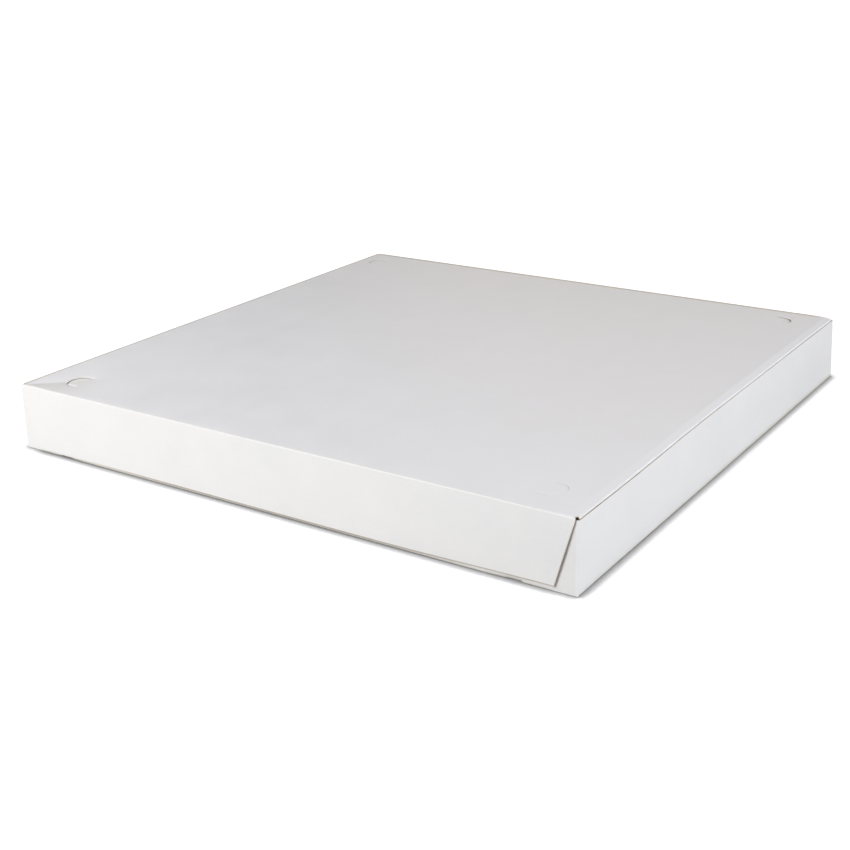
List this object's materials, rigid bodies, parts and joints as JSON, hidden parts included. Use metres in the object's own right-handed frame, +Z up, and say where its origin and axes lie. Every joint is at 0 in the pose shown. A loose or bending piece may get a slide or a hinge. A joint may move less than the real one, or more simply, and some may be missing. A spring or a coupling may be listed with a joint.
{
  "type": "pizza box",
  "caption": "Flat square paperboard pizza box with a rear-hinged lid, tucked side flaps and an outside front flap with tapered ends.",
  "frame": {"origin": "middle of the bottom, on the surface it stands on", "axes": "+Z up, +Y from the front wall towards the hinge at the rear, X from side to side"},
  "size_m": [0.4064, 0.4064, 0.0445],
  "materials": {
    "tray_board": "clay-coated white outside, brown kraft inside and on raw edges",
    "lid_board": "clay-coated white outside, brown kraft inside and on raw edges",
    "flap_board": "clay-coated white outside, brown kraft inside and on raw edges"
  },
  "bodies": {
    "tray": {"tray": "tray_board"},
    "lid": {"lid": "lid_board"},
    "front_flap": {"front_flap": "flap_board"}
  },
  "joints": [
    {"name": "lid_hinge", "type": "hinge", "parent": "tray", "child": "lid", "pos_m": [0, 0.20221, 0.04421], "axis": [-1, 0, 0], "range_deg": [0, 180]},
    {"name": "front_flap_hinge", "type": "hinge", "parent": "lid", "child": "front_flap", "pos_m": [0, -0.20131, 0.04421], "axis": [-1, 0, 0], "range_deg": [0, 90]}
  ]
}
